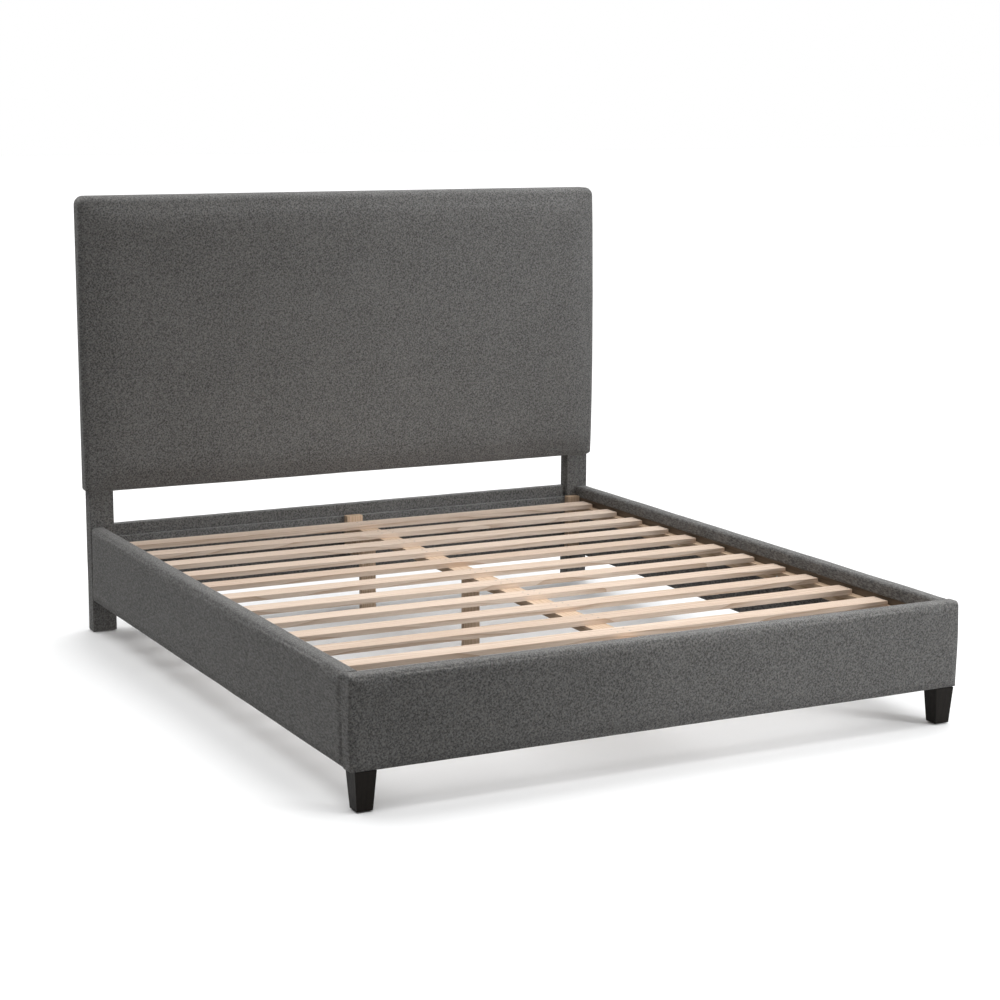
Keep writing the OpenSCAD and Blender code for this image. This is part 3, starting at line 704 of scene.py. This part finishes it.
def upholster():
    headboard_panel()
    footboard()
    tight = 3.5 * MM
    for number, side in enumerate(SIDES):
        side_rail(side)
        wrapped_board(f"post_sleeve_{side}", f"post_cover_{side}", "xyz", (tight,) * 4,
                      1.5 * MM, 41 + number, raise_top=9 * MM, drop=2 * MM)
    wrapped_board("head_crossrail_pad", "head_crossrail_cover", "yzx",
                  (3 * MM, 3 * MM, 5 * MM, 5 * MM), 1 * MM, 51)
    wrapped_board("head_ledger_pad", "head_ledger_cover", "yzx",
                  (3 * MM, 1 * MM, 3 * MM, 1 * MM), 1 * MM, 52)
    back_cloth()


# ---------------------------------------------------------------- studio

def studio():
    """Pale floor out to the horizon, a white backdrop, an even sky light and five soft lamps."""
    half = 60.0
    corners = [(-half, -half, 0), (half, -half, 0), (half, half, 0), (-half, half, 0)]
    mesh = bpy.data.meshes.new("floor")
    mesh.from_pydata(corners, [], [(0, 1, 2, 3)])
    floor = bpy.data.objects.new("floor", mesh)
    SCENE.collection.objects.link(floor)
    floor.data.materials.append(plain_floor())
    floor.visible_diffuse = False    # light from a white floor would flatten the upright faces

    world = bpy.data.worlds.new("studio")
    world.use_nodes = True
    nodes, links = world.node_tree.nodes, world.node_tree.links
    ambient = nodes["Background"]
    ambient.inputs["Color"].default_value = (1.0, 0.99, 0.975, 1.0)
    ambient.inputs["Strength"].default_value = 0.25
    seen = nodes.new("ShaderNodeBackground")
    seen.inputs["Color"].default_value = (1.0, 1.0, 1.0, 1.0)
    seen.inputs["Strength"].default_value = 1.0
    path = nodes.new("ShaderNodeLightPath")
    mix = nodes.new("ShaderNodeMixShader")
    links.new(path.outputs["Is Camera Ray"], mix.inputs[0])
    links.new(ambient.outputs[0], mix.inputs[1])
    links.new(seen.outputs[0], mix.inputs[2])
    links.new(mix.outputs[0], nodes["World Output"].inputs["Surface"])
    SCENE.world = world
    SCENE.view_settings.view_transform = "Standard"
    SCENE.view_settings.look = "None"

    sun = bpy.data.lights.new("overhead", "SUN")
    sun.energy = 3.5
    sun.angle = math.radians(80)
    lamp = bpy.data.objects.new("overhead", sun)
    towards_sun = Vector((0.14, 0.14, 1.0))
    lamp.rotation_euler = towards_sun.to_track_quat("Z", "Y").to_euler()
    SCENE.collection.objects.link(lamp)

    # Where each lamp hangs and what it is aimed at, then its size, watts, spread in degrees and tint.
    for name, spot, aim, size, power, spread, tint in (
        ("panel_key", (3.6, -4.2, 3.0), (0.95, 1.10, 1.62), 1.4, 7.6, 32, (0.98, 1.0, 1.03)),
        ("foot_key", (3.6, -4.6, 1.6), (0.75, -1.1, 0.25), 1.2, 7.0, 40, (0.99, 1.0, 1.01)),
        ("slat_key", (0.4, -4.6, 2.9), (0.1, -0.2, 0.3), 1.0, 0.9, 18, (1.0, 0.99, 0.97)),
        ("left_fill", (-4.4, -1.6, 0.5), (-0.95, -0.1, 0.25), 0.8, 0.4, 50, (1.0, 0.96, 0.91)),
    ):
        light = bpy.data.lights.new(name, "AREA")
        light.shape = "DISK"
        light.size = size
        light.energy = power
        light.spread = math.radians(spread)
        light.color = tint
        lamp = bpy.data.objects.new(name, light)
        lamp.location = spot
        lamp.rotation_euler = (Vector(aim) - Vector(spot)).to_track_quat("-Z", "Y").to_euler()
        lamp.visible_camera = False
        SCENE.collection.objects.link(lamp)


def camera():
    """A long lens well in front of the foot, on its left, looking a little down."""
    yaw, pitch, roll = math.radians(27.116), math.radians(10.214), math.radians(0.164)
    focal_pixels, frame_pixels, sensor = 2241.8, 1000, 36
    foot_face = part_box("footboard_cover")[0].y
    spot = Vector((-3.1523, foot_face - 5.0929, 1.8228))
    forward = Vector((math.sin(yaw) * math.cos(pitch), math.cos(yaw) * math.cos(pitch), -math.sin(pitch)))
    right = Vector((math.cos(yaw), -math.sin(yaw), 0))
    up = right.cross(forward)
    turn = Matrix((right, up, -forward)).transposed() @ Matrix.Rotation(roll, 3, "Z")
    data = bpy.data.cameras.new("camera")
    data.lens = focal_pixels / frame_pixels * sensor
    data.sensor_width = sensor
    data.clip_end = 200
    eye = bpy.data.objects.new("camera", data)
    eye.matrix_world = Matrix.Translation(spot) @ turn.to_4x4()
    SCENE.collection.objects.link(eye)
    SCENE.camera = eye


camera()
dress_cad()
upholster()
studio()
